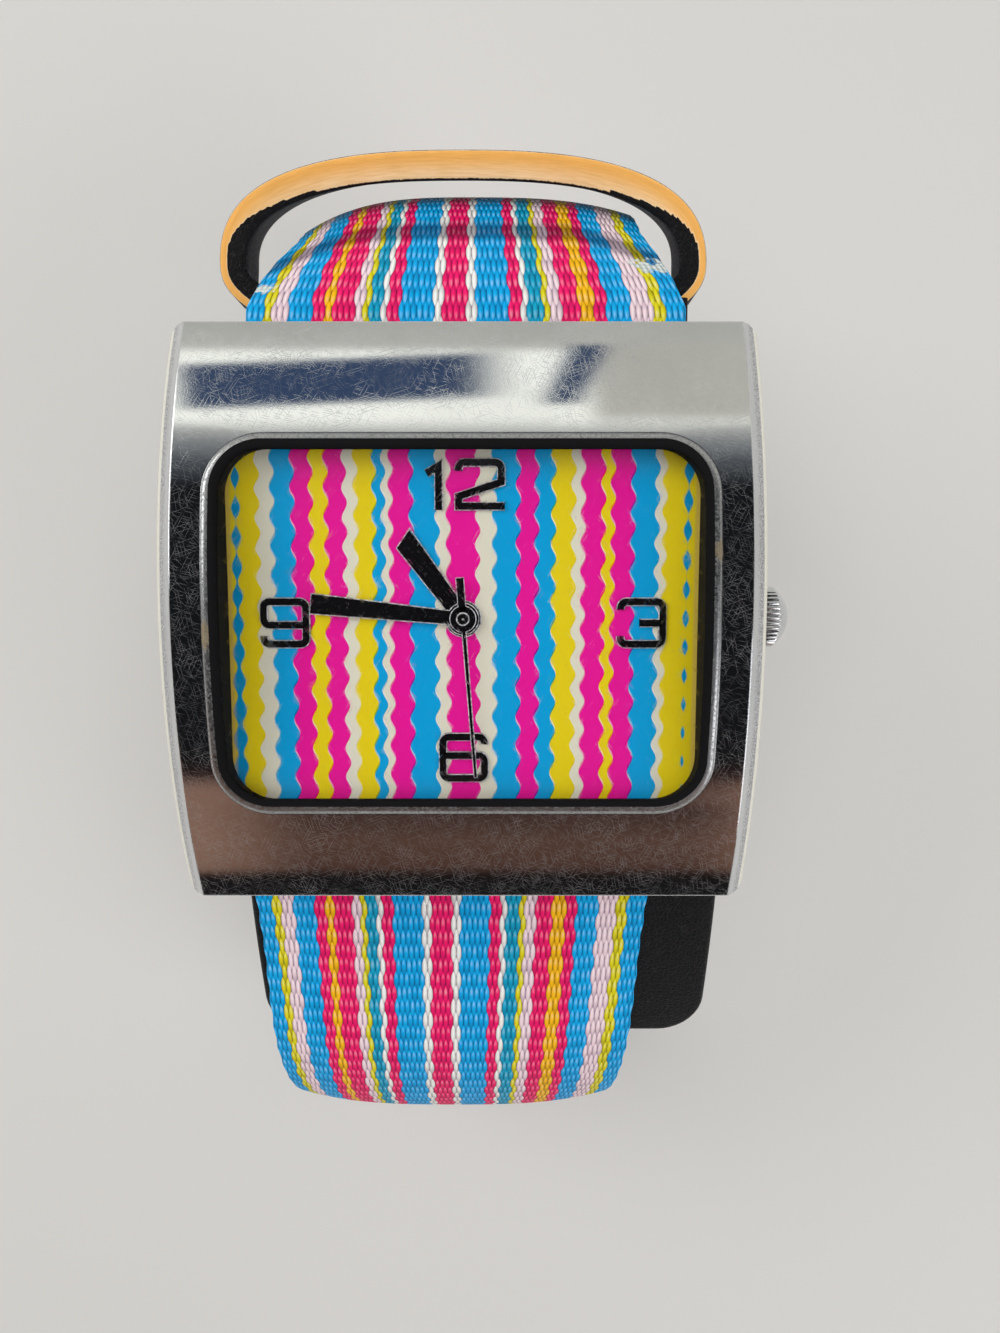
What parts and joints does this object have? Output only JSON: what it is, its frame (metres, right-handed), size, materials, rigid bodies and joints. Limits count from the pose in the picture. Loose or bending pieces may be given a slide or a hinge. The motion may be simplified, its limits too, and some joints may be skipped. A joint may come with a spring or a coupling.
{
  "type": "quartz wristwatch",
  "caption": "Square wristwatch with a bowed bright case, striped dial and woven ribbon strap, backed by a wide leather pad that ends in a loop round the ribbon.",
  "frame": {"origin": "on the surface that the closed strap stands on, straight under the axis of the hands", "axes": "+X towards 3 o'clock, +Y towards 12 o'clock, +Z out of the dial"},
  "size_m": [0.0449, 0.0938, 0.0576],
  "materials": {
    "case_chrome": "polished, finely scratched",
    "bezel_chrome": "polished, worn",
    "crystal_glass": "clear",
    "seal_rubber": "matte",
    "dial_print": "wavy stripes, semi-gloss",
    "numeral_black": "gloss with bright edges",
    "hand_black": "gloss with bright edges",
    "gear_brass": "fine turned",
    "rotor_steel": "dark",
    "plate_plastic": "moulded",
    "bridge_steel": "brushed",
    "coil_copper": "lacquered wire",
    "board_green": "lacquered",
    "cell_steel": "satin",
    "holder_plastic": "moulded",
    "fitting_steel": "turned",
    "crown_chrome": "polished",
    "back_steel": "brushed",
    "ribbon_weave": "striped woven ribbon",
    "pad_leather": "matte, pale cut edge",
    "buckle_chrome": "polished"
  },
  "bodies": {
    "case": {"case_body": "case_chrome", "crystal_bezel": "bezel_chrome", "crystal": "crystal_glass", "crystal_gasket": "seal_rubber", "dial_plate": "dial_print", "numeral_12": "numeral_black", "numeral_3": "numeral_black", "numeral_6": "numeral_black", "numeral_9": "numeral_black", "main_plate": "plate_plastic", "train_bridge": "bridge_steel", "stator": "bridge_steel", "coil": "coil_copper", "circuit_board": "board_green", "quartz_can": "cell_steel", "button_cell": "cell_steel", "cell_clip": "fitting_steel", "movement_holder": "holder_plastic", "crown_tube": "fitting_steel", "case_back": "back_steel", "back_gasket": "seal_rubber", "back_screws": "fitting_steel", "spring_bar_12": "fitting_steel", "spring_bar_6": "fitting_steel", "leather_pad": "pad_leather", "pad_loop": "pad_leather"},
    "second": {"second_hand": "hand_black", "fourth_wheel": "gear_brass"},
    "minute": {"minute_hand": "hand_black", "cannon_pinion": "gear_brass"},
    "hour": {"hour_hand": "hand_black", "hour_wheel": "gear_brass"},
    "minute_train": {"minute_wheel": "gear_brass"},
    "third_train": {"third_wheel": "gear_brass"},
    "step_train": {"step_wheel": "gear_brass"},
    "motor": {"rotor": "rotor_steel"},
    "yoke": {"setting_yoke": "fitting_steel"},
    "crown_stem": {"crown": "crown_chrome", "setting_stem": "fitting_steel", "crown_seal": "seal_rubber"},
    "strap_12": {"upper_ribbon": "ribbon_weave"},
    "buckle": {"buckle_frame": "buckle_chrome", "buckle_bar": "fitting_steel"},
    "tang": {"buckle_tang": "buckle_chrome"},
    "strap_6": {"lower_ribbon": "ribbon_weave", "eyelet_1": "buckle_chrome", "eyelet_2": "buckle_chrome", "eyelet_3": "buckle_chrome", "eyelet_4": "buckle_chrome", "eyelet_5": "buckle_chrome"}
  },
  "joints": [
    {"name": "second_hand_turn", "type": "hinge", "parent": "case", "child": "second", "pos_m": [0, 0, 0.0545], "axis": [0, 0, -1], "continuous": true},
    {"name": "minute_hand_turn", "type": "hinge", "parent": "case", "child": "minute", "pos_m": [0, 0, 0.0543], "axis": [0, 0, -1], "continuous": true},
    {"name": "hour_hand_turn", "type": "hinge", "parent": "case", "child": "hour", "pos_m": [0, 0, 0.0541], "axis": [0, 0, -1], "continuous": true},
    {"name": "minute_wheel_turn", "type": "hinge", "parent": "case", "child": "minute_train", "pos_m": [0.0013, 0.00225, 0.0528], "axis": [0, 0, -1], "continuous": true},
    {"name": "third_wheel_turn", "type": "hinge", "parent": "case", "child": "third_train", "pos_m": [0.00145, -0.0025, 0.0512], "axis": [0, 0, -1], "continuous": true},
    {"name": "step_wheel_turn", "type": "hinge", "parent": "case", "child": "step_train", "pos_m": [-0.00101, 0.00276, 0.0504], "axis": [0, 0, -1], "continuous": true},
    {"name": "rotor_turn", "type": "hinge", "parent": "case", "child": "motor", "pos_m": [-0.00337, 0.00362, 0.0509], "axis": [0, 0, -1], "continuous": true},
    {"name": "crown_pull", "type": "slide", "parent": "case", "child": "yoke", "axis": [1, 0, 0], "range_m": [0, 0.0006]},
    {"name": "crown_turn", "type": "hinge", "parent": "yoke", "child": "crown_stem", "pos_m": [0.0222, 0, 0.05105], "axis": [1, 0, 0], "continuous": true},
    {"name": "strap_12_swing", "type": "hinge", "parent": "case", "child": "strap_12", "pos_m": [0, 0.01702, 0.0494], "axis": [-1, 0, 0], "range_deg": [0, 4]},
    {"name": "strap_6_swing", "type": "hinge", "parent": "case", "child": "strap_6", "pos_m": [0, -0.01702, 0.0494], "axis": [-1, 0, 0], "range_deg": [0, 40]},
    {"name": "buckle_swing", "type": "hinge", "parent": "strap_12", "child": "buckle", "pos_m": [0, 0.0055, 0.00373], "axis": [-1, 0, 0], "range_deg": [0, 60]},
    {"name": "tang_swing", "type": "hinge", "parent": "buckle", "child": "tang", "pos_m": [0, 0.0055, 0.00373], "axis": [-1, 0, 0], "range_deg": [0, 95]}
  ],
  "couplings": [
    {"joint": "minute_hand_turn", "follows": "second_hand_turn", "ratio": 0.016667},
    {"joint": "hour_hand_turn", "follows": "second_hand_turn", "ratio": 0.0013889},
    {"joint": "minute_wheel_turn", "follows": "second_hand_turn", "ratio": -0.0055556},
    {"joint": "third_wheel_turn", "follows": "second_hand_turn", "ratio": -0.13333},
    {"joint": "step_wheel_turn", "follows": "second_hand_turn", "ratio": -6},
    {"joint": "rotor_turn", "follows": "second_hand_turn", "ratio": 30}
  ]
}
